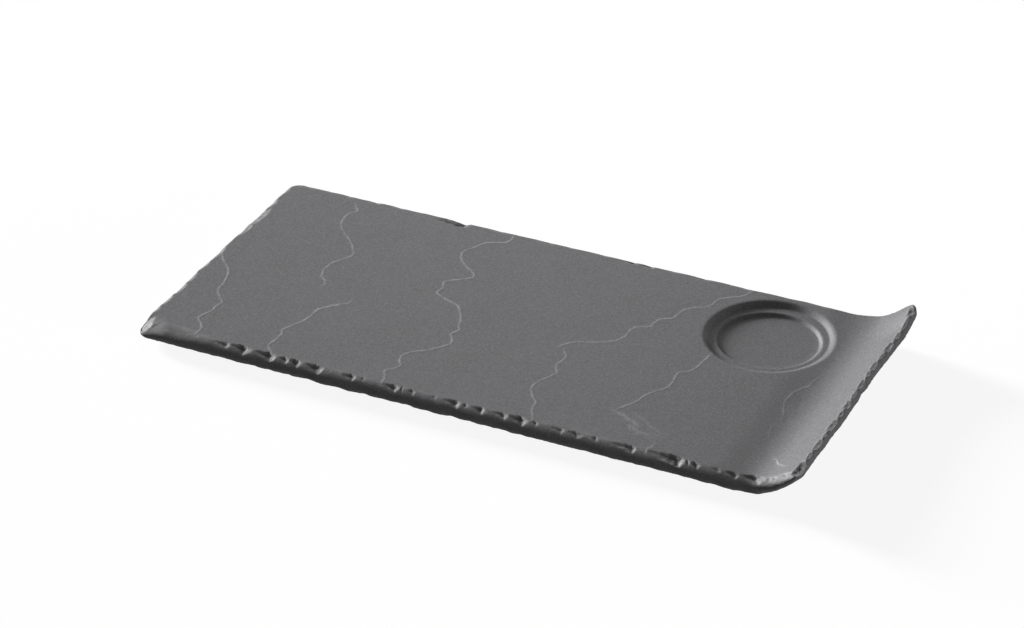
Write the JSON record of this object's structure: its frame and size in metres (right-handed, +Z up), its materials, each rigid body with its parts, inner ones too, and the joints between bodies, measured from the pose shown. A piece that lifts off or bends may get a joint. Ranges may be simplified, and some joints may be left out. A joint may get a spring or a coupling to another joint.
{
  "type": "serving board",
  "caption": "Long dark stoneware serving board that imitates slate, with a flaked edge, a stepped round well for a small cup, an upturned end and soft feet.",
  "frame": {"origin": "below the middle of the board's length and width, on the plane that its feet stand on", "axes": "+X along the length towards the upturned lip, +Y across the width towards the edge by the cup well, +Z up"},
  "size_m": [0.3, 0.14, 0.0203],
  "materials": {
    "stoneware": "matt, with a fine grain",
    "foot_rubber": "matt",
    "adhesive_film": "satin"
  },
  "bodies": {
    "root": {"board": "stoneware", "foot_front_left": "foot_rubber", "foot_front_right": "foot_rubber", "foot_back_left": "foot_rubber", "foot_back_right": "foot_rubber", "adhesive_front_left": "adhesive_film", "adhesive_front_right": "adhesive_film", "adhesive_back_left": "adhesive_film", "adhesive_back_right": "adhesive_film"}
  },
  "joints": []
}
